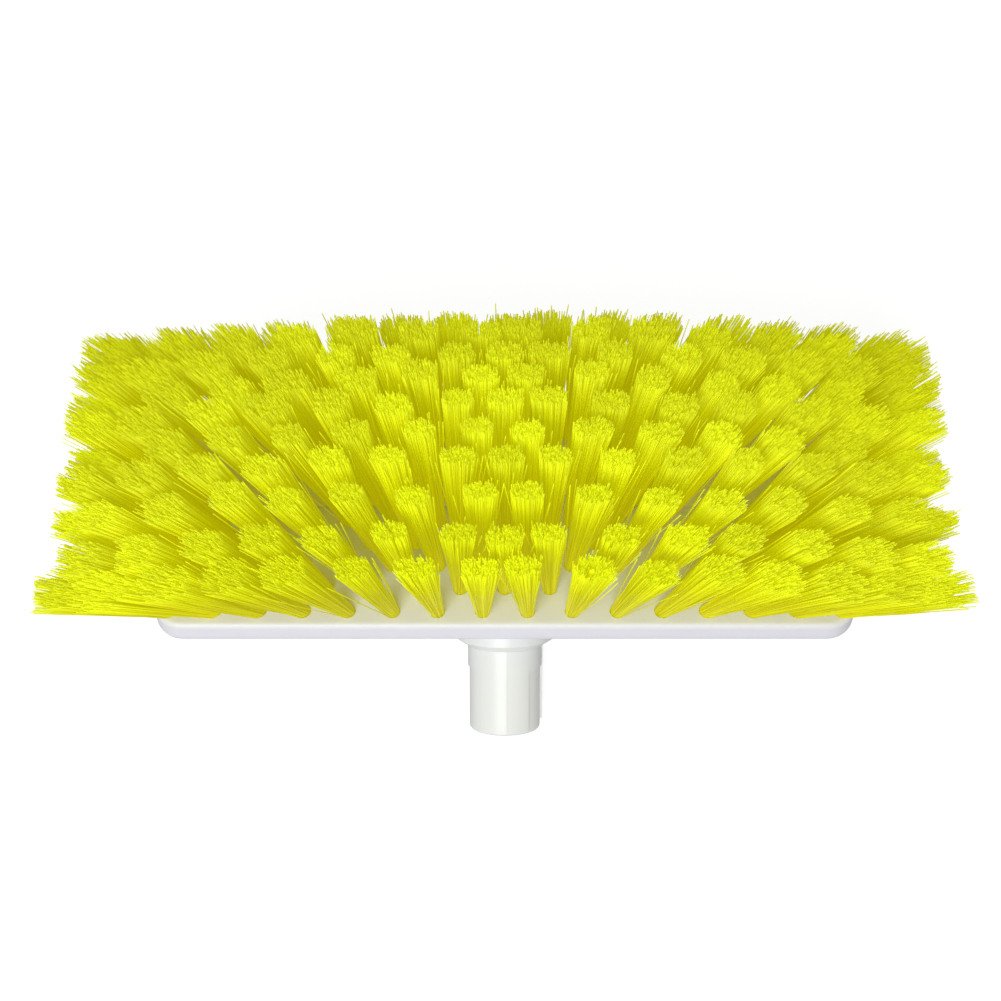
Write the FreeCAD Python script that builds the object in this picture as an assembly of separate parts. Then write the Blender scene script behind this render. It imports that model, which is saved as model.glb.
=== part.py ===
import FreeCAD, Part
import math
import os

# Wash brush head: a moulded plastic block, ten staggered rows of fanned bristle tufts, the wire
# anchors that hold the tufts in their holes, and an angled socket for a screw-in handle.
# Millimetres. +X runs along the block and +Z is the way the bristles point. The origin is where the
# thread starts, just inside the socket's mouth, and the handle leaves it towards -Y and -Z.

Vector = FreeCAD.Vector

# Block
BLOCK_LENGTH = 254.0
BLOCK_WIDTH = 100.0
BLOCK_THICKNESS = 12.5
CORNER_RADIUS = 10.0
FACE_EDGE_RADIUS = 2.0
BACK_EDGE_RADIUS = 5.0
GROOVE_LENGTH = 226.0
GROOVE_WIDTH = 3.4
GROOVE_DEPTH = 1.0

# Tufts, by row from the socket's side: an even count has no tuft on the block's middle, so
# neighbouring rows are staggered by half a pitch
ROW_TUFTS = (16, 15, 16, 15, 14, 15, 14, 15, 14, 15)
ROW_LEAN = (-16, -13, -7, -3, -1, 1, 2, 3, 4.5, 6)             # degrees, + is towards +Y
ROW_TRIM = (60, 62, 63, 63.5, 63.5, 63.5, 63.5, 63, 61, 50)    # free length of the bristles
END_TRIM = (60, 62, 54, 63.5, 63.5, 63.5, 66, 63, 66, 50)      # and of its outermost tufts
END_FAN = {5: 46.0, 7: 46.0, 9: 42.0}                          # degrees, of its outermost tufts
ROW_COUNT = len(ROW_TUFTS)
TUFT_PITCH = 16.25
ROW_PITCH = 9.7
FAN_STEP = 6.3       # degrees that each tuft leans out more than the one before it
FAN_LIMIT = 38.5     # degrees
HOLE_RADIUS = 2.75
HOLE_DEPTH = 9.0
TUFT_ROOT_RADIUS = 2.7
TUFT_TIP_RADIUS = 6.0
END_TIP_RADIUS = 5.4     # of a row's outermost tufts
FLARE_START = 2.5        # above the face, clear of a leaning hole's edge
ANCHOR_LENGTH = 5.3
ANCHOR_HEIGHT = 1.6
ANCHOR_THICKNESS = 0.6
ANCHOR_LIFT = 1.0        # of the anchor above the bottom of its hole
ANCHOR_CLEARANCE = 0.05

# Handle socket, measured along its axis from the start of the thread
SOCKET_ANGLE = 45.0      # between the socket's axis and the block's normal
MOUTH = -1.2             # the bore widens to the mouth at 45 degrees
TUBE_RADIUS = 13.1
MOUTH_EDGE_RADIUS = 1.6
COLLAR_START = 23.3
COLLAR_RADIUS = 13.7
FLANGE_START = 34.3
FLANGE_END = 38.0
FLANGE_RADIUS = 18.4
FLANGE_BEVEL = 3.0       # along the axis, from the collar out to the flange's edge
SPIGOT_END = 43.5
SPIGOT_RADIUS = 10.5
PANEL_WIDTH = 17.8
PANEL_START = -0.2
RIB_WIDTH = 1.8          # of the low rib along the panel's middle
RIB_HEIGHT = 0.3
FIN_START = 2.3
FIN_HEIGHT = 0.45
FIN_THICKNESS = 1.4

# Thread for a 3/4 inch broom handle: 5 turns to the inch
THREAD_PITCH = 5.08
THREAD_CREST_RADIUS = 8.2
THREAD_ROOT_RADIUS = 9.5
THREAD_LENGTH = 27.8

# Boss on the block's back, which carries the socket
BOSS_RADIUS = 18.0
BOSS_LENGTH = 19.8       # along the axis, from the flange to the block's back
BOSS_AXIS_OFFSET = 20.0  # from the block's middle line to where the socket's axis meets its back
POCKET_CLEARANCE = 0.1
BOSS_OVERLAP = 1.0

angle = math.radians(SOCKET_ANGLE)
INTO_BLOCK = Vector(0, math.sin(angle), math.cos(angle))
BACK_Z = (FLANGE_END + BOSS_LENGTH) * math.cos(angle)
FACE_Z = BACK_Z + BLOCK_THICKNESS
BLOCK_Y = BACK_Z * math.tan(angle) + BOSS_AXIS_OFFSET


def row_columns(row):
    """Places of a row's tufts along the block, in pitches from its middle."""
    count = ROW_TUFTS[row - 1]
    return [index - (count - 1) / 2 for index in range(count)]


def is_outermost(row, column):
    return abs(column) == (ROW_TUFTS[row - 1] - 1) / 2


def tuft_root(row, column):
    """Where a tuft's axis meets the bristle face."""
    from_middle = (row - (ROW_COUNT + 1) / 2) * ROW_PITCH
    return Vector(column * TUFT_PITCH, BLOCK_Y + from_middle, FACE_Z)


def tuft_direction(row, column):
    """Unit vector along a tuft: each tuft fans out one step more than its inner neighbour."""
    steps = max(0, math.ceil(abs(column)) - 1)
    degrees = min(FAN_LIMIT, FAN_STEP * steps)
    if is_outermost(row, column):
        degrees = END_FAN.get(row, degrees)
    fan = math.copysign(math.radians(degrees), column)
    lean = math.radians(ROW_LEAN[row - 1])
    return Vector(math.sin(fan) * math.cos(lean), math.sin(lean), math.cos(fan) * math.cos(lean))


def upright(shape, base, direction):
    """Copy of a shape modelled along +Z, with its origin at base and its Z along direction."""
    placed = shape.copy()
    turn = FreeCAD.Rotation(Vector(0, 0, 1), direction)
    placed.Placement = FreeCAD.Placement(base, turn)
    return placed


def centred_box(length, width, height, bottom):
    corner = Vector(-length / 2, -width / 2, bottom)
    return Part.makeBox(length, width, height, corner)


def level_edges(shape, height):
    """Edges that lie all along one height."""
    return [edge for edge in shape.Edges
            if abs(edge.BoundBox.ZMin - height) < 1e-6 and abs(edge.BoundBox.ZMax - height) < 1e-6]


def make_plate():
    """The block without its holes: rounded in plan, with soft edges."""
    plate = centred_box(BLOCK_LENGTH, BLOCK_WIDTH, BLOCK_THICKNESS, 0)
    plate.translate(Vector(0, BLOCK_Y, BACK_Z))
    uprights = [edge for edge in plate.Edges if edge.BoundBox.ZLength > BLOCK_THICKNESS / 2]
    plate = plate.makeFillet(CORNER_RADIUS, uprights)
    plate = plate.makeFillet(FACE_EDGE_RADIUS, level_edges(plate, FACE_Z))
    return plate.makeFillet(BACK_EDGE_RADIUS, level_edges(plate, BACK_Z))


def make_boss():
    """Round boss along the socket's axis, from the flange into the block's back."""
    reach = 4 * BOSS_RADIUS
    base = INTO_BLOCK * FLANGE_END
    boss = Part.makeCylinder(BOSS_RADIUS, reach, base, INTO_BLOCK)
    below = Part.makeBox(2 * reach, 4 * reach, 2 * reach)
    below.translate(Vector(-reach, -2 * reach, BACK_Z + BOSS_OVERLAP - 2 * reach))
    return boss.common(below)


def make_groove():
    """Shallow round-ended groove along the middle of the bristle face."""
    straight = GROOVE_LENGTH - GROOVE_WIDTH
    groove = centred_box(straight, GROOVE_WIDTH, 2 * GROOVE_DEPTH, -GROOVE_DEPTH)
    for side in (-1, 1):
        end = Part.makeCylinder(GROOVE_WIDTH / 2, 2 * GROOVE_DEPTH,
                                Vector(side * straight / 2, 0, -GROOVE_DEPTH))
        groove = groove.fuse(end)
    groove.translate(Vector(0, BLOCK_Y, FACE_Z))
    return groove


def make_block():
    """Block with its boss, the spigot's pocket, the groove and one blind hole for each tuft."""
    block = make_plate().fuse(make_boss()).removeSplitter()
    pocket_depth = SPIGOT_END + POCKET_CLEARANCE - FLANGE_END
    pocket = Part.makeCylinder(SPIGOT_RADIUS + POCKET_CLEARANCE, pocket_depth,
                               INTO_BLOCK * FLANGE_END, INTO_BLOCK)
    hole = Part.makeCylinder(HOLE_RADIUS, 2 * HOLE_DEPTH, Vector(0, 0, -HOLE_DEPTH))
    cutters = [pocket, make_groove()]
    for row in range(1, ROW_COUNT + 1):
        for column in row_columns(row):
            cutters.append(upright(hole, tuft_root(row, column), tuft_direction(row, column)))
    return block.cut(cutters)


def make_anchor(clearance):
    """Flat wire anchor that lies across a folded tuft, low in its hole."""
    return centred_box(ANCHOR_THICKNESS + 2 * clearance, ANCHOR_LENGTH + 4 * clearance,
                       ANCHOR_HEIGHT + 2 * clearance, ANCHOR_LIFT - clearance - HOLE_DEPTH)


def make_tuft(length, tip_radius):
    """Straight in its hole, then flared to its trimmed end, with a slot where the anchor sits."""
    root = Part.makeCylinder(TUFT_ROOT_RADIUS, HOLE_DEPTH + FLARE_START, Vector(0, 0, -HOLE_DEPTH))
    flare = Part.makeCone(TUFT_ROOT_RADIUS, tip_radius, length - FLARE_START,
                          Vector(0, 0, FLARE_START))
    return root.fuse(flare).removeSplitter().cut(make_anchor(ANCHOR_CLEARANCE))


def place_row(row, shape, outermost):
    """One copy of a shape for each tuft of a row, with another shape for the two outermost."""
    return Part.makeCompound([upright(outermost if is_outermost(row, column) else shape,
                                      tuft_root(row, column), tuft_direction(row, column))
                              for column in row_columns(row)])


def socket_profile():
    """Outline of the socket in the XZ plane: the outside, then back down the bore."""
    edge = MOUTH_EDGE_RADIUS
    half = edge * (1 - math.sqrt(0.5))
    arc = Part.Arc(Vector(TUBE_RADIUS - edge, 0, MOUTH), Vector(TUBE_RADIUS - half, 0, MOUTH + half),
                   Vector(TUBE_RADIUS, 0, MOUTH + edge)).toShape()
    outside = [(TUBE_RADIUS, MOUTH + edge), (TUBE_RADIUS, COLLAR_START),
               (COLLAR_RADIUS, COLLAR_START),
               (COLLAR_RADIUS, FLANGE_START - FLANGE_BEVEL), (FLANGE_RADIUS, FLANGE_START),
               (FLANGE_RADIUS, FLANGE_END), (SPIGOT_RADIUS, FLANGE_END),
               (SPIGOT_RADIUS, SPIGOT_END), (0, SPIGOT_END), (0, THREAD_LENGTH),
               (THREAD_CREST_RADIUS, THREAD_LENGTH), (THREAD_CREST_RADIUS, 0),
               (THREAD_CREST_RADIUS - MOUTH, MOUTH), (TUBE_RADIUS - edge, MOUTH)]
    points = [Vector(radius, 0, height) for radius, height in outside]
    lines = [Part.makeLine(start, end) for start, end in zip(points, points[1:])]
    return Part.Face(Part.Wire([arc] + lines))


def make_thread_groove():
    """Helical groove, cut outwards from the bore's crest."""
    depth = THREAD_ROOT_RADIUS - THREAD_CREST_RADIUS
    inner = THREAD_CREST_RADIUS - depth / 2
    turns = THREAD_LENGTH / THREAD_PITCH - 1
    crest_half = 0.3 * THREAD_PITCH
    root_half = 0.18 * THREAD_PITCH
    helix = Part.makeHelix(THREAD_PITCH, turns * THREAD_PITCH, inner)
    corners = [Vector(inner, 0, -crest_half), Vector(THREAD_ROOT_RADIUS, 0, -root_half),
               Vector(THREAD_ROOT_RADIUS, 0, root_half), Vector(inner, 0, crest_half)]
    section = Part.makePolygon(corners + corners[:1])
    groove = Part.Wire(helix.Edges).makePipeShell([section], True, True)
    groove.translate(Vector(0, 0, THREAD_PITCH / 2))
    return groove


def make_front_strip(radius, width, start):
    """Strip of a cylinder along the socket's front, up to the flange."""
    strip = Part.makeCylinder(radius, FLANGE_START - start, Vector(0, 0, start))
    return strip.common(Part.makeBox(width, radius, FLANGE_START, Vector(-width / 2, -radius, start)))


def make_handle_socket():
    """Flanged tube with a collar, a raised and ribbed front panel, a side fin and a threaded bore."""
    body = socket_profile().revolve(Vector(0, 0, 0), Vector(0, 0, 1), 360)
    body = Part.Solid(body.Shells[0]) if body.ShapeType != "Solid" else body
    bore = Part.makeCylinder(THREAD_CREST_RADIUS - MOUTH, THREAD_LENGTH - MOUTH, Vector(0, 0, MOUTH))
    panel = make_front_strip(COLLAR_RADIUS, PANEL_WIDTH, PANEL_START)
    rib = make_front_strip(COLLAR_RADIUS + RIB_HEIGHT, RIB_WIDTH, PANEL_START)
    fin = Part.makeBox(FIN_HEIGHT + COLLAR_RADIUS - THREAD_ROOT_RADIUS, FIN_THICKNESS,
                       FLANGE_START - FIN_START,
                       Vector(THREAD_ROOT_RADIUS, -FIN_THICKNESS / 2, FIN_START))
    socket = body.fuse([panel.cut(bore), rib.cut(bore), fin.cut(bore)]).removeSplitter()
    socket = socket.cut(make_thread_groove())
    turn = FreeCAD.Rotation(Vector(1, 0, 0), -SOCKET_ANGLE)
    socket.Placement = FreeCAD.Placement(Vector(0, 0, 0), turn)
    return socket


def main():
    os.makedirs("parts", exist_ok=True)
    nodes = {"block": make_block(), "handle_socket": make_handle_socket()}
    for row in range(1, ROW_COUNT + 1):
        tuft = make_tuft(ROW_TRIM[row - 1], TUFT_TIP_RADIUS)
        end_tuft = make_tuft(END_TRIM[row - 1], END_TIP_RADIUS)
        anchor = make_anchor(0)
        nodes[f"tufts_row_{row:02d}"] = place_row(row, tuft, end_tuft)
        nodes[f"wire_anchors_row_{row:02d}"] = place_row(row, anchor, anchor)
    for name, shape in nodes.items():
        if not shape.isValid():
            raise ValueError(f"{name} is not a valid shape")
        shape.exportStep(f"parts/{name}.step")
        box = shape.BoundBox
        print(f"{name}: {len(shape.Solids)} solids, {box.XLength:.1f} x {box.YLength:.1f} x"
              f" {box.ZLength:.1f} mm")


main()
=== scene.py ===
"""Wash brush head: bristles, plastic finishes and studio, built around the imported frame."""

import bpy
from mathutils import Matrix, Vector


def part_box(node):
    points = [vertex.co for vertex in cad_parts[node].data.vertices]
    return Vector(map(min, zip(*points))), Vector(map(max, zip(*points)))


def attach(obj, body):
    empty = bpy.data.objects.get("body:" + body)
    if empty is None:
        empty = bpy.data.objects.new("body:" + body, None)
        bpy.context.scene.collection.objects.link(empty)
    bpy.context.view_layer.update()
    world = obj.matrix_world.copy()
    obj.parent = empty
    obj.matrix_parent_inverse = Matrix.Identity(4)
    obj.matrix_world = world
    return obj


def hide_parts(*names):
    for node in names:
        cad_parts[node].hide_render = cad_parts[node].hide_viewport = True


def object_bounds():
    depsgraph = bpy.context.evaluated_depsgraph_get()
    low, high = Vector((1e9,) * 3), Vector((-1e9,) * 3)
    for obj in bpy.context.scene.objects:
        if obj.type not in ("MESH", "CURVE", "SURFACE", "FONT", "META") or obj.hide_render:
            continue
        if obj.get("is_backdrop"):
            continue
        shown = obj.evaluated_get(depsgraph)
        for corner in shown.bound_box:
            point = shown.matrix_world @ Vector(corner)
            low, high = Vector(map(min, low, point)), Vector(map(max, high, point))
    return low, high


bl_info = {
    "name": "Wash brush head",
    "version": (1, 0, 0),
    "blender": (4, 5, 0),
    "location": "3D View > Sidebar > Brush",
    "description": "Fills a wash brush head with bristles, finishes its plastic and lights it",
    "category": "Object",
}

import math

import bmesh
import bpy
import numpy as np
from bpy.props import FloatProperty, FloatVectorProperty, IntProperty, PointerProperty
from mathutils import Vector

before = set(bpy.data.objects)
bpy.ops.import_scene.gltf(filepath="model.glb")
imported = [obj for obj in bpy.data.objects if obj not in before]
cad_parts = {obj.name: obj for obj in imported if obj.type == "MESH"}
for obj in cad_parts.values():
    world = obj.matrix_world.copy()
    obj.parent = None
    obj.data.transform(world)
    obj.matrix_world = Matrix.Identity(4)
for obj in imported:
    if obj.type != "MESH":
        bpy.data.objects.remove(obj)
cad_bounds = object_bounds()

MM = 0.001
ROW_NODES = sorted(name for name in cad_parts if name.startswith("tufts_row_"))
ANCHOR_NODES = sorted(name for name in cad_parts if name.startswith("wire_anchors_row_"))
BLOCK_LOW, BLOCK_HIGH = (Vector(corner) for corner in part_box("block"))
BLOCK_CENTRE = (BLOCK_LOW + BLOCK_HIGH) / 2
FACE_HEIGHT = BLOCK_HIGH.z
FACE_CENTRE = Vector((BLOCK_CENTRE.x, BLOCK_CENTRE.y, FACE_HEIGHT))
WHITE = (1.0, 1.0, 1.0, 1.0)


# ---------------------------------------------------------------- sizes and colours

def colour_property(name, description, default):
    return FloatVectorProperty(name=name, description=description, default=default,
                               subtype="COLOR", size=3, min=0.0, max=1.0)


def length_property(name, description, default):
    return FloatProperty(name=name, description=description, default=default, min=0.0,
                         unit="LENGTH", subtype="DISTANCE", precision=5)


class BristleSettings(bpy.types.PropertyGroup):
    """Sizes and colours of the filaments in every tuft."""

    count: IntProperty(name="Filaments", description="Filaments in each tuft", default=300, min=10)
    radius: length_property("Radius", "Radius of one filament", 0.205 * MM)
    spread: FloatProperty(name="Spread", description="Width of every tuft's end against its row's",
                          default=1.0, min=0.5, max=1.5, subtype="FACTOR")
    fan_spread: FloatProperty(name="Fan spread",
                              description="How much wider the end of a tuft that leans sideways is",
                              default=0.27, min=0.0, max=1.0, subtype="FACTOR")
    cut_follows: FloatProperty(name="Cut follows lean",
                               description="How far the cut ends turn with the tuft, from 0, level",
                               default=0.1, min=0.0, max=1.0, subtype="FACTOR")
    flatness: FloatProperty(name="Flatness",
                            description="Depth of an upright tuft's end against its width",
                            default=0.62, min=0.3, max=1.0, subtype="FACTOR")
    cut_back: FloatProperty(name="Cut back",
                            description="How much of a slanting cut is taken off the tuft's length",
                            default=0.75, min=0.0, max=1.0, subtype="FACTOR")
    squareness: FloatProperty(name="Squareness",
                              description="How square a tuft's end is, from 0, round",
                              default=0.55, min=0.0, max=1.0, subtype="FACTOR")
    uneven: length_property("Uneven", "How far a tuft's end strays from its place", 0.9 * MM)
    ragged: length_property("Ragged", "How unevenly the filaments are cut", 0.6 * MM)
    bow: length_property("Bow", "How far a filament bows between its root and its tip", 0.18 * MM)
    strays: FloatProperty(name="Strays", description="Part of the filaments that stand out",
                          default=0.04, min=0.0, max=1.0, subtype="FACTOR")
    stray_reach: length_property("Stray reach", "How far a stray filament stands out", 2.6 * MM)
    seed: IntProperty(name="Seed", description="Start of the random draws", default=7)
    # painted shade and highlight: darker and more golden deep in the tufts, where shade falls, and
    # lighter at the cut ends, where light falls
    shaded_root_colour: colour_property("Root colour", "Colour deep in the tufts", (0.70, 0.68, 0.004))
    body_colour: colour_property("Body colour", "Colour half way up", (0.72, 0.74, 0.004))
    highlit_tip_colour: colour_property("Tip colour", "Colour of the cut ends", (0.82, 0.96, 0.014))
    # painted glow: the filaments give off light though they are no lamp, standing in for
    # fluorescence and light through them; the cut ends glow stronger as a painted highlight
    painted_glow_colour: colour_property("Glow colour", "Colour of the light that the filaments give off",
                                 (0.88, 0.80, 0.003))
    glow: FloatProperty(name="Glow",
                        description="Strength of the light that the filaments give off",
                        default=0.228, min=0.0, max=2.0)
    painted_end_glow: FloatProperty(name="End glow", description="How much stronger the cut ends glow",
                            default=1.2, min=1.0, max=4.0)


class PlasticSettings(bpy.types.PropertyGroup):
    """Colours of the block, the socket and the anchors."""

    block_colour: colour_property("Block colour", "Moulded block", (0.82, 0.82, 0.895))
    socket_colour: colour_property("Socket colour", "Moulded handle socket", (0.855, 0.87, 0.86))
    wire_colour: colour_property("Wire colour", "Flat anchor wire", (0.62, 0.50, 0.30))


class StageSettings(bpy.types.PropertyGroup):
    """Camera, floor and lights."""

    elevation: FloatProperty(name="Elevation", description="Camera height above the horizon",
                             default=math.radians(57), subtype="ANGLE", unit="ROTATION")
    distance: length_property("Distance", "From the camera to the bristle face", 1.0)
    lens: FloatProperty(name="Lens", description="Focal length in millimetres", default=97.1,
                        min=1.0)
    aim_side: FloatProperty(name="Aim side", description="Aim to the side of the face's centre",
                            default=-1.6 * MM, unit="LENGTH", precision=4)
    aim_rise: FloatProperty(name="Aim rise", description="Aim above the face's centre",
                            default=3.5 * MM, unit="LENGTH", precision=4)
    floor_colour: colour_property("Floor colour", "Plain pale floor", (0.55, 0.55, 0.55))
    floor_glow: FloatProperty(name="Floor glow",
                              description="How much the floor is lifted to white",
                              default=0.75, min=0.0)
    key_power: FloatProperty(name="Key", description="Power of the main light", default=12.3,
                             min=0.0, unit="POWER")
    fill_power: FloatProperty(name="Fill", description="Power of each side light", default=0.8,
                              min=0.0, unit="POWER")
    sky: FloatProperty(name="Sky", description="Strength of the white surroundings", default=0.355,
                       min=0.0)


# ---------------------------------------------------------------- small helpers

def new_material(name):
    """New material and its node tree, with nothing in the tree yet."""
    material = bpy.data.materials.new(name)
    material.use_nodes = True
    tree = material.node_tree
    tree.nodes.clear()
    return material, tree


def add_node(tree, kind, **values):
    """Adds a node and sets its inputs by name, with spaces written as underscores."""
    node = tree.nodes.new(kind)
    for key, value in values.items():
        socket = node.inputs.get(key.replace("_", " "))
        if socket is None:
            setattr(node, key, value)
        else:
            socket.default_value = value
    return node


def show_shader(tree, shader):
    """Gives the tree an output that shows one shader."""
    output = add_node(tree, "ShaderNodeOutputMaterial")
    tree.links.new(shader.outputs["BSDF"], output.inputs["Surface"])


def paint(node_name, material):
    """Gives a CAD node's object one material."""
    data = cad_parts[node_name].data
    data.materials.clear()
    data.materials.append(material)


# ---------------------------------------------------------------- surface effects

FLOW_STRETCH = (6.0, 90.0, 90.0)   # flow lines run long in the moulding's own x
FLOW_MIDDLE = 0.5                  # the noise swings about this
FLOW_HEIGHT = 1.6                  # of the flow lines, against a grain of 1
GRAIN_DEPTH = 0.05 * MM
LIGHT_REACH = 1.5 * MM             # how far light spreads inside the plastic
LIGHT_SHARES = (1.0, 1.0, 0.9)     # of that reach, in red, green and blue


def moulded_surface():
    """Node group for moulded plastic: cloudy tone, faint flow lines and a fine grain."""
    name = "moulded_surface"
    if name in bpy.data.node_groups:
        return bpy.data.node_groups[name]
    group = bpy.data.node_groups.new(name, "ShaderNodeTree")
    face = group.interface
    face.new_socket(name="Colour", in_out="INPUT", socket_type="NodeSocketColor")
    for label, start in (("Cloud", 0.05), ("Cloud Scale", 28.0), ("Grain Scale", 900.0),
                         ("Roughness", 0.35), ("Roughness Change", 0.06)):
        socket = face.new_socket(name=label, in_out="INPUT", socket_type="NodeSocketFloat")
        socket.default_value = start
    face.new_socket(name="Colour", in_out="OUTPUT", socket_type="NodeSocketColor")
    face.new_socket(name="Roughness", in_out="OUTPUT", socket_type="NodeSocketFloat")
    face.new_socket(name="Height", in_out="OUTPUT", socket_type="NodeSocketFloat")
    link = group.links.new
    enter = add_node(group, "NodeGroupInput")
    leave = add_node(group, "NodeGroupOutput")
    place = add_node(group, "ShaderNodeTexCoord")
    cloud = add_node(group, "ShaderNodeTexNoise", Detail=3.0, Roughness=0.55)
    link(place.outputs["Object"], cloud.inputs["Vector"])
    link(enter.outputs["Cloud Scale"], cloud.inputs["Scale"])
    grain = add_node(group, "ShaderNodeTexNoise", Detail=2.0, Roughness=0.6)
    link(place.outputs["Object"], grain.inputs["Vector"])
    link(enter.outputs["Grain Scale"], grain.inputs["Scale"])
    stretch = add_node(group, "ShaderNodeMapping", Scale=FLOW_STRETCH)
    link(place.outputs["Object"], stretch.inputs["Vector"])
    flow = add_node(group, "ShaderNodeTexNoise", Scale=1.0, Detail=2.0, Distortion=0.6)
    link(stretch.outputs["Vector"], flow.inputs["Vector"])

    tone = add_node(group, "ShaderNodeMath", operation="SUBTRACT")
    tone.inputs[0].default_value = 1.0
    depth = add_node(group, "ShaderNodeMath", operation="MULTIPLY")
    link(cloud.outputs["Fac"], depth.inputs[0])
    link(enter.outputs["Cloud"], depth.inputs[1])
    link(depth.outputs[0], tone.inputs[1])
    shade = add_node(group, "ShaderNodeVectorMath", operation="SCALE")
    link(enter.outputs["Colour"], shade.inputs[0])
    link(tone.outputs[0], shade.inputs["Scale"])
    link(shade.outputs[0], leave.inputs["Colour"])

    swing = add_node(group, "ShaderNodeMath", operation="SUBTRACT")
    link(flow.outputs["Fac"], swing.inputs[0])
    swing.inputs[1].default_value = FLOW_MIDDLE
    scaled = add_node(group, "ShaderNodeMath", operation="MULTIPLY")
    link(swing.outputs[0], scaled.inputs[0])
    link(enter.outputs["Roughness Change"], scaled.inputs[1])
    rough = add_node(group, "ShaderNodeMath", operation="ADD", use_clamp=True)
    link(enter.outputs["Roughness"], rough.inputs[0])
    link(scaled.outputs[0], rough.inputs[1])
    link(rough.outputs[0], leave.inputs["Roughness"])

    height = add_node(group, "ShaderNodeMath", operation="MULTIPLY_ADD")
    link(flow.outputs["Fac"], height.inputs[0])
    height.inputs[1].default_value = FLOW_HEIGHT
    link(grain.outputs["Fac"], height.inputs[2])
    link(height.outputs[0], leave.inputs["Height"])
    return group


def plastic_material(name, colour, roughness, bump, subsurface):
    """Satin moulded plastic with a cloudy tone and a fine grain."""
    material, tree = new_material(name)
    link = tree.links.new
    surface = tree.nodes.new("ShaderNodeGroup")
    surface.node_tree = moulded_surface()
    surface.inputs["Colour"].default_value = (*colour, 1.0)
    surface.inputs["Roughness"].default_value = roughness
    grain = add_node(tree, "ShaderNodeBump", Strength=bump, Distance=GRAIN_DEPTH)
    link(surface.outputs["Height"], grain.inputs["Height"])
    shader = add_node(tree, "ShaderNodeBsdfPrincipled", IOR=1.48)
    shader.inputs["Subsurface Weight"].default_value = subsurface
    shader.inputs["Subsurface Radius"].default_value = LIGHT_SHARES
    shader.inputs["Subsurface Scale"].default_value = LIGHT_REACH
    link(surface.outputs["Colour"], shader.inputs["Base Color"])
    link(surface.outputs["Roughness"], shader.inputs["Roughness"])
    link(grain.outputs["Normal"], shader.inputs["Normal"])
    show_shader(tree, shader)
    return material


# places along a filament, from 0 at the bottom of its hole to 1 at its cut end; the colour runs
# from a painted shade at the root to a painted highlight at the cut end
ROOT_PLACE, BODY_PLACE, LATE_PLACE, TIP_PLACE = 0.12, 0.62, 0.93, 1.0
# the cut ends' painted glow rises to its full strength between these places
PAINTED_END_GLOW_STARTS, PAINTED_END_GLOW_FULL = 0.84, 0.98
DARKEST_TINT = 0.66   # brightness of the darkest filaments


def bristle_material(settings):
    """Filament with painted light: a golden painted shade at its root, a painted highlight
    brightest at its cut end, a painted glow standing in for fluorescence and light through the
    filaments, and its own random tone.
    """
    material, tree = new_material("bristle_filament")
    link = tree.links.new
    along = add_node(tree, "ShaderNodeAttribute", attribute_name="along")
    tint = add_node(tree, "ShaderNodeAttribute", attribute_name="tint")
    # painted shade at the root and painted highlight at the cut end, along each filament
    ramp = add_node(tree, "ShaderNodeValToRGB")
    stops = ramp.color_ramp.elements
    stops[0].position, stops[0].color = ROOT_PLACE, (*settings.shaded_root_colour, 1.0)
    stops[1].position, stops[1].color = TIP_PLACE, (*settings.highlit_tip_colour, 1.0)
    middle = stops.new(BODY_PLACE)
    middle.color = (*settings.body_colour, 1.0)
    late = stops.new(LATE_PLACE)
    late.color = (*((body + tip) / 2
                    for body, tip in zip(settings.body_colour, settings.highlit_tip_colour)), 1.0)
    link(along.outputs["Fac"], ramp.inputs["Fac"])
    tone = add_node(tree, "ShaderNodeMapRange", To_Min=DARKEST_TINT, To_Max=1.0)
    link(tint.outputs["Fac"], tone.inputs["Value"])
    shade = add_node(tree, "ShaderNodeVectorMath", operation="SCALE")
    link(ramp.outputs["Color"], shade.inputs[0])
    link(tone.outputs["Result"], shade.inputs["Scale"])
    shader = add_node(tree, "ShaderNodeBsdfPrincipled", Roughness=0.42, IOR=1.5)
    shader.inputs["Specular IOR Level"].default_value = 0.16
    # painted glow from the filaments, stronger at the cut ends as a painted highlight
    shader.inputs["Emission Strength"].default_value = settings.glow * settings.painted_end_glow
    painted_end_shine = add_node(tree, "ShaderNodeMapRange", From_Min=PAINTED_END_GLOW_STARTS, From_Max=PAINTED_END_GLOW_FULL,
                     To_Min=1 / settings.painted_end_glow, To_Max=1.0)
    link(along.outputs["Fac"], painted_end_shine.inputs["Value"])
    light = add_node(tree, "ShaderNodeVectorMath", operation="SCALE")
    light.inputs[0].default_value = settings.painted_glow_colour
    link(painted_end_shine.outputs["Result"], light.inputs["Scale"])
    link(light.outputs[0], shader.inputs["Emission Color"])
    link(shade.outputs[0], shader.inputs["Base Color"])
    show_shader(tree, shader)
    return material


def wire_material(colour):
    """Flat drawn wire with fine lines along it."""
    material, tree = new_material("anchor_wire")
    link = tree.links.new
    place = add_node(tree, "ShaderNodeTexCoord")
    lines = add_node(tree, "ShaderNodeTexNoise", Scale=4000.0, Detail=2.0)
    link(place.outputs["Object"], lines.inputs["Vector"])
    rough = add_node(tree, "ShaderNodeMapRange", To_Min=0.25, To_Max=0.5)
    link(lines.outputs["Fac"], rough.inputs["Value"])
    shader = add_node(tree, "ShaderNodeBsdfPrincipled", Metallic=1.0)
    shader.inputs["Base Color"].default_value = (*colour, 1.0)
    link(rough.outputs["Result"], shader.inputs["Roughness"])
    show_shader(tree, shader)
    return material


# ---------------------------------------------------------------- bristles

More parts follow.
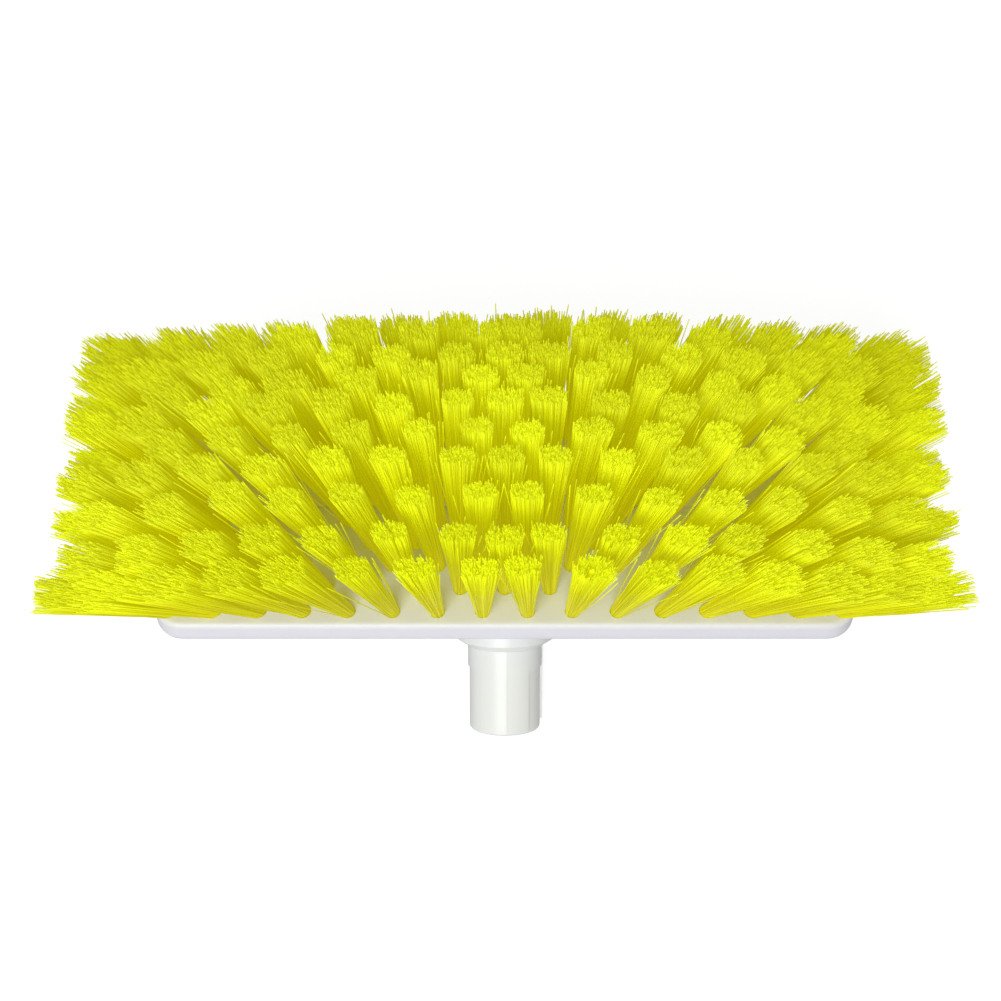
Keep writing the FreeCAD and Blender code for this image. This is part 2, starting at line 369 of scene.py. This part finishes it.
# width of each row's tuft ends against its solid tufts, and how much darker its filaments are
# painted: a painted shade on the back rows, which lie in the shade of the rows before them
ROW_SPREAD = (1.17, 1.02, 0.97, 1.0, 1.02, 1.05, 1.08, 1.10, 1.20, 1.38)
ROW_PAINTED_SHADE = (0, 0, 0, 0, 0.03, 0.06, 0.12, 0.2, 0.3, 0.45)
ROW_SEED_STEP = 100
TUFT_TINT = (0.25, 0.75)
FILAMENT_TINT_CHANGE = 0.28

FILAMENT_SIDES = 4
FILAMENT_STEPS = 3
MERGE_GAP = 0.002 * MM
FLAT_ANGLE = math.radians(0.5)

# where the filaments of a tuft stand; each change is the spread of a random draw
GOLDEN_ANGLE = math.pi * (3 - math.sqrt(5))
TURN_CHANGE = 0.25       # of a filament's place around its tuft, in radians
CLUMPS = 6               # in each tuft
CLUMP_PLACES = 0.8       # part of the tuft's radius within which clumps are centred
CLUMP_PULL = 0.2         # most of the way to its clump that a filament is drawn
LEANING_DEPTH = 0.32     # how much deeper the end of a tuft with a full sideways lean is
FULL_LEAN = 0.55         # sine of that lean
LEAST_LEAN = 0.3         # least sine that a length is divided by
END_SIZE_CHANGE = 0.07   # of an end's width and depth
END_CHANGE = 0.35 * MM   # of a filament's cut end
STRAY_CHANGE = 1.6 * MM  # of a stray's cut end
STRAY_BOW = 3.0          # against the bow of the other filaments
DEPTH_ROOM = 2.5 * MM    # past the solid tuft's own end, across the block
WIDTH_ROOM = 1.5 * MM    # past the row's outermost solid tuft, along the block

# filaments that are cut short or stand out long: their part, and the least and most of the change
CUT_SHORT = (0.08, 1.0 * MM, 5.0 * MM)
CUT_LONG = (0.05, 0.5 * MM, 2.0 * MM)


def model_filament():
    """Corner points and faces of one filament: a four-sided rod of unit size, cut into steps."""
    bpy.ops.object.select_all(action="DESELECT")
    bpy.ops.mesh.primitive_cylinder_add(vertices=FILAMENT_SIDES, radius=1.0, depth=1.0,
                                        end_fill_type="NGON", location=(0, 0, 0.5))
    rod = bpy.context.object
    bpy.ops.object.transform_apply(location=True, rotation=True, scale=True)
    bpy.ops.object.mode_set(mode="EDIT")
    bpy.ops.mesh.select_mode(type="EDGE")
    bpy.ops.mesh.select_all(action="DESELECT")
    mesh = bmesh.from_edit_mesh(rod.data)
    for edge in mesh.edges:
        low, high = sorted(vertex.co.z for vertex in edge.verts)
        edge.select = low < 0.5 < high
    bmesh.update_edit_mesh(rod.data)
    bpy.ops.mesh.subdivide(number_cuts=FILAMENT_STEPS - 1)
    bpy.ops.object.mode_set(mode="OBJECT")
    points = np.array([vertex.co[:] for vertex in rod.data.vertices])
    faces = [list(polygon.vertices) for polygon in rod.data.polygons]
    bpy.data.objects.remove(rod)
    return points, faces


def face_islands(mesh):
    """Groups of joined faces, one for each separate solid."""
    waiting = set(mesh.faces)
    while waiting:
        front = [waiting.pop()]
        island = []
        while front:
            face = front.pop()
            island.append(face)
            for vertex in face.verts:
                for neighbour in vertex.link_faces:
                    if neighbour in waiting:
                        waiting.remove(neighbour)
                        front.append(neighbour)
        yield island


def tuft_axes(node_name):
    """Foot, tip, foot radius and tip radius of each tuft, read from the frame's own solids."""
    mesh = bmesh.new()
    mesh.from_mesh(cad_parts[node_name].data)
    bmesh.ops.remove_doubles(mesh, verts=mesh.verts, dist=MERGE_GAP)
    bmesh.ops.dissolve_limit(mesh, angle_limit=FLAT_ANGLE, verts=mesh.verts, edges=mesh.edges)
    tufts = []
    for island in face_islands(mesh):
        ends = sorted(island, key=lambda face: len(face.verts))[-2:]
        foot, tip = sorted(((end.calc_center_median(), end) for end in ends),
                           key=lambda pair: pair[0].z)
        radii = [max((vertex.co - centre).length for vertex in end.verts)
                 for centre, end in (foot, tip)]
        tufts.append((foot[0].copy(), tip[0].copy(), *radii))
    mesh.free()
    return sorted(tufts, key=lambda tuft: tuft[0].x)


def end_places(width, depth_limit, lean, settings, random):
    """Each filament's place in a tuft of radius 1, its cut end, and whether it is a stray."""
    count = settings.count
    order = np.arange(count)
    reach = np.sqrt((order + 0.5) / count)
    turn = order * GOLDEN_ANGLE + random.normal(0, TURN_CHANGE, count)
    spot = np.stack((reach * np.cos(turn), reach * np.sin(turn)), axis=1)
    squared = spot * (reach / np.abs(spot).max(axis=1))[:, None] ** settings.squareness

    centres = random.uniform(-CLUMP_PLACES, CLUMP_PLACES, (CLUMPS, 2))
    gaps = np.linalg.norm(spot[:, None] - centres[None], axis=2)
    nearest = centres[gaps.argmin(axis=1)]
    gathered = squared + (nearest - spot) * random.uniform(0.0, CLUMP_PULL, (count, 1))

    depth = settings.flatness + LEANING_DEPTH * min(1.0, lean / FULL_LEAN)
    end = gathered * width * (1.0, depth) * random.normal(1.0, END_SIZE_CHANGE, 2)
    end += random.normal(0, END_CHANGE, (count, 2))
    end += random.normal(0, settings.uneven, 2)
    stray = random.random(count) < settings.strays
    standing_out = spot * settings.stray_reach + random.normal(0, STRAY_CHANGE, (count, 2))
    end += np.where(stray[:, None], standing_out, 0)
    end[:, 1] = np.clip(end[:, 1], -depth_limit, depth_limit)
    return spot, end, stray


def cut_change(part, least, most, count, random):
    """Change in the length of a part of the filaments, and 0 for the others."""
    chosen = random.random(count) < part
    return np.where(chosen, random.uniform(least, most, count), 0)


def filament_lines(tuft, end_radius, row_end, rings, settings, random):
    """Middle line of each filament at each rod point, the side directions and the steps along."""
    foot, tip, foot_radius, tip_radius = tuft
    count = settings.count
    axis = np.array(tip - foot)
    length = np.linalg.norm(axis)
    axis /= length
    side = np.cross(axis, (0.0, 1.0, 0.0))
    side /= np.linalg.norm(side)
    sides = np.stack((side, np.cross(axis, side)))
    lean = abs(axis[0])

    width = end_radius * settings.spread * (1 + settings.fan_spread * lean)
    spot, end, stray = end_places(width, tip_radius + DEPTH_ROOM, lean, settings, random)
    root = spot * (foot_radius - settings.radius)

    level = np.array((0.0, 0.0, 1.0)) * (1 - settings.cut_follows) + axis * settings.cut_follows
    slope = np.linalg.norm(sides @ level) / (axis @ level)
    cut = length - settings.cut_back * width * slope - (end @ sides @ level) / (axis @ level)
    cut += random.normal(0, settings.ragged, count)
    cut -= cut_change(*CUT_SHORT, count, random)
    cut += cut_change(*CUT_LONG, count, random)
    outward = (foot.x + cut * axis[0] + (end @ sides)[:, 0]) * np.sign(axis[0])
    over = outward - row_end - random.uniform(0, WIDTH_ROOM, count)
    cut -= np.maximum(over, 0) / max(lean, LEAST_LEAN)

    mouth = (FACE_HEIGHT - foot.z) / (tip.z - foot.z)
    end = root + (end - root) * ((cut / length - mouth) / (1 - mouth))[:, None]
    bow = random.normal(0, settings.bow, (count, 2)) * np.where(stray, STRAY_BOW, 1.0)[:, None]

    rise = np.array([mouth / 2, mouth, (mouth + 1) / 2, 1.0])   # one for each ring of the rod
    step = rise[rings]
    free = np.clip((step - mouth) / (1 - mouth), 0, 1)
    across = (root[:, None] + (end - root)[:, None] * free[None, :, None]
              + bow[:, None] * (4 * free * (1 - free))[None, :, None])
    lines = np.array(foot) + cut[:, None, None] * step[None, :, None] * axis + across @ sides
    return lines, sides, step


def copied_rods(name, places, rod_points, rod_faces, smooth):
    """One mesh of many rods, whose places hold the points of one rod after another."""
    copies = len(places) // rod_points
    corners = np.concatenate([np.array(face) for face in rod_faces])
    totals = np.tile([len(face) for face in rod_faces], copies)
    loops = np.tile(corners, copies) + np.repeat(np.arange(copies) * rod_points, len(corners))

    mesh = bpy.data.meshes.new(name)
    mesh.vertices.add(len(places))
    mesh.vertices.foreach_set("co", places.ravel())
    mesh.loops.add(len(loops))
    mesh.loops.foreach_set("vertex_index", loops)
    mesh.polygons.add(len(totals))
    mesh.polygons.foreach_set("loop_start", np.concatenate(([0], np.cumsum(totals)[:-1])))
    mesh.polygons.foreach_set("use_smooth", np.tile(smooth, copies))
    return mesh


def build_row(node_name, row_spread, row_painted_shade, filament, settings, material, seed):
    """One row of tufts as one mesh, with a value along each filament and a random tone for each,
    made darker by the row's painted shade.
    """
    points, faces = filament
    rings = np.rint(points[:, 2] * FILAMENT_STEPS).astype(int)
    walls = [len(set(rings[face])) > 1 for face in faces]
    random = np.random.default_rng(seed)
    placed, along, tint = [], [], []
    tufts = tuft_axes(node_name)
    end_radius = row_spread * max(tip_radius for *_, tip_radius in tufts)
    row_end = max(abs(vertex.co.x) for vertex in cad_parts[node_name].data.vertices)
    for tuft in tufts:
        lines, sides, step = filament_lines(tuft, end_radius, row_end, rings, settings, random)
        rim = (points[:, :2] * settings.radius) @ sides
        placed.append((lines + rim[None]).reshape(-1, 3))
        along.append(np.tile(step, settings.count))
        # random tone of the tuft, less the row's painted shade on the back rows
        tuft_tint_and_row_shade = random.uniform(*TUFT_TINT) - row_painted_shade
        shades = tuft_tint_and_row_shade + random.normal(0, FILAMENT_TINT_CHANGE, settings.count)
        tint.append(np.repeat(np.clip(shades, 0, 1), len(points)))

    mesh = copied_rods(node_name.replace("tufts", "bristles"), np.concatenate(placed), len(points),
                       faces, walls)
    for label, values in (("along", along), ("tint", tint)):
        layer = mesh.attributes.new(label, "FLOAT", "POINT")
        layer.data.foreach_set("value", np.concatenate(values).astype(np.float32))
    mesh.update(calc_edges=True)
    mesh.validate()
    mesh.materials.append(material)
    piece = bpy.data.objects.new(mesh.name, mesh)
    bpy.context.collection.objects.link(piece)
    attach(piece, "root")
    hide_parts(node_name)
    return piece


# ---------------------------------------------------------------- operators

class BRUSH_OT_bristles(bpy.types.Operator):
    """Fill every row of tufts with filaments"""

    bl_idname = "brush.bristles"
    bl_label = "Bristles"

    def execute(self, context):
        settings = context.scene.brush_bristles
        if not ROW_NODES:
            raise RuntimeError("the frame has no rows of tufts")
        filament = model_filament()
        material = bristle_material(settings)
        for index, node_name in enumerate(ROW_NODES):
            build_row(node_name, ROW_SPREAD[index], ROW_PAINTED_SHADE[index], filament, settings, material,
                      settings.seed * ROW_SEED_STEP + index)
        return {"FINISHED"}


class BRUSH_OT_block(bpy.types.Operator):
    """Finish the block in white moulded plastic"""

    bl_idname = "brush.block"
    bl_label = "Block"

    def execute(self, context):
        settings = context.scene.brush_plastic
        material = plastic_material("block_plastic", settings.block_colour, roughness=0.36,
                                    bump=0.10, subsurface=0.2)
        paint("block", material)
        return {"FINISHED"}


class BRUSH_OT_socket(bpy.types.Operator):
    """Finish the handle socket in milky moulded plastic"""

    bl_idname = "brush.socket"
    bl_label = "Handle socket"

    def execute(self, context):
        settings = context.scene.brush_plastic
        material = plastic_material("socket_plastic", settings.socket_colour, roughness=0.30,
                                    bump=0.06, subsurface=0.3)
        paint("handle_socket", material)
        return {"FINISHED"}


class BRUSH_OT_anchors(bpy.types.Operator):
    """Finish the wire anchors at the bottom of the holes"""

    bl_idname = "brush.anchors"
    bl_label = "Wire anchors"

    def execute(self, context):
        material = wire_material(context.scene.brush_plastic.wire_colour)
        for node_name in ANCHOR_NODES:
            paint(node_name, material)
        return {"FINISHED"}


SENSOR_WIDTH = 36.0
VIEW_END = 50.0
FLOOR_HEIGHT = cad_bounds[0][2]
FLOOR_RADIUS = 6.0
FLOOR_SIDES = 96
UNSEEN_FLOOR_GLOW = 0.1   # the floor's glow for light that doesn't go straight to the camera
LAMP_SIZE = 0.8
KEY_PLACE = (-0.25, -1.05, 0.85)   # the lamps' places are from the middle of the bristle face
LEFT_PLACE = (-1.2, 0.1, 0.7)
RIGHT_PLACE = (1.2, 0.0, 0.7)


class BRUSH_OT_stage(bpy.types.Operator):
    """Set the camera, the pale floor and the soft studio lights"""

    bl_idname = "brush.stage"
    bl_label = "Stage"

    def execute(self, context):
        settings = context.scene.brush_stage
        self.camera(context, settings)
        self.floor(settings)
        self.lights(context, settings)
        context.scene.view_settings.view_transform = "Standard"
        return {"FINISHED"}

    def camera(self, context, settings):
        tilt = settings.elevation
        along = Vector((0, math.cos(tilt), -math.sin(tilt)))
        up = Vector((0, math.sin(tilt), math.cos(tilt)))
        aim = FACE_CENTRE + Vector((settings.aim_side, 0, 0)) + up * settings.aim_rise
        data = bpy.data.cameras.new("camera")
        data.sensor_width = SENSOR_WIDTH
        data.lens = settings.lens
        data.clip_end = VIEW_END
        camera = bpy.data.objects.new("camera", data)
        camera.location = aim - along * settings.distance
        camera.rotation_euler = (math.pi / 2 - tilt, 0, 0)
        context.collection.objects.link(camera)
        context.scene.camera = camera

    def floor(self, settings):
        bpy.ops.object.select_all(action="DESELECT")
        bpy.ops.mesh.primitive_circle_add(vertices=FLOOR_SIDES, radius=FLOOR_RADIUS,
                                          fill_type="NGON", location=(0, 0, FLOOR_HEIGHT))
        floor = bpy.context.object
        floor.name = "floor"
        material, tree = new_material("pale_floor")
        shader = add_node(tree, "ShaderNodeBsdfPrincipled", Roughness=0.7)
        shader.inputs["Base Color"].default_value = (*settings.floor_colour, 1.0)
        shader.inputs["Emission Color"].default_value = WHITE
        seen = add_node(tree, "ShaderNodeLightPath")
        glow = add_node(tree, "ShaderNodeMapRange", To_Min=UNSEEN_FLOOR_GLOW,
                        To_Max=settings.floor_glow)
        tree.links.new(seen.outputs["Is Camera Ray"], glow.inputs["Value"])
        tree.links.new(glow.outputs["Result"], shader.inputs["Emission Strength"])
        show_shader(tree, shader)
        floor.data.materials.append(material)
        floor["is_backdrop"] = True

    def lights(self, context, settings):
        world = bpy.data.worlds.new("studio")
        world.use_nodes = True
        tree = world.node_tree
        sky = tree.nodes["Background"]
        sky.inputs["Color"].default_value = WHITE
        seen = add_node(tree, "ShaderNodeLightPath")
        level = add_node(tree, "ShaderNodeMapRange", To_Min=settings.sky, To_Max=1.0)
        tree.links.new(seen.outputs["Is Camera Ray"], level.inputs["Value"])
        tree.links.new(level.outputs["Result"], sky.inputs["Strength"])
        context.scene.world = world
        for name, place, power in (("key", KEY_PLACE, settings.key_power),
                                   ("left_fill", LEFT_PLACE, settings.fill_power),
                                   ("right_fill", RIGHT_PLACE, settings.fill_power)):
            data = bpy.data.lights.new(name, "AREA")
            data.size = LAMP_SIZE
            data.energy = power
            lamp = bpy.data.objects.new(name, data)
            lamp.location = FACE_CENTRE + Vector(place)
            lamp.rotation_euler = (-Vector(place)).to_track_quat("-Z", "Y").to_euler()
            context.collection.objects.link(lamp)


class BRUSH_PT_panel(bpy.types.Panel):
    """Sizes, colours and building steps of the brush head"""

    bl_idname = "BRUSH_PT_panel"
    bl_label = "Wash brush head"
    bl_space_type = "VIEW_3D"
    bl_region_type = "UI"
    bl_category = "Brush"

    def draw(self, context):
        scene = context.scene
        for group in (scene.brush_bristles, scene.brush_plastic, scene.brush_stage):
            box = self.layout.box()
            for name in group.bl_rna.properties.keys():
                if name not in {"rna_type", "name"}:
                    box.prop(group, name)
        for operator in OPERATORS:
            self.layout.operator(operator.bl_idname)


SETTINGS = {"brush_bristles": BristleSettings, "brush_plastic": PlasticSettings,
            "brush_stage": StageSettings}
OPERATORS = (BRUSH_OT_stage, BRUSH_OT_block, BRUSH_OT_socket, BRUSH_OT_anchors, BRUSH_OT_bristles)


def register():
    for cls in (*SETTINGS.values(), *OPERATORS, BRUSH_PT_panel):
        bpy.utils.register_class(cls)
    for name, cls in SETTINGS.items():
        setattr(bpy.types.Scene, name, PointerProperty(type=cls))


def unregister():
    for name in SETTINGS:
        delattr(bpy.types.Scene, name)
    for cls in (BRUSH_PT_panel, *reversed(OPERATORS), *reversed(SETTINGS.values())):
        bpy.utils.unregister_class(cls)


def main():
    register()
    bpy.ops.brush.stage()
    bpy.ops.brush.block()
    bpy.ops.brush.socket()
    bpy.ops.brush.anchors()
    bpy.ops.brush.bristles()
    sizes = {"cad": cad_bounds, "visual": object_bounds()}
    ({name: [[float(value) for value in corner] for corner in corners]
               for name, corners in sizes.items()})


if __name__ == "__main__":
    main()
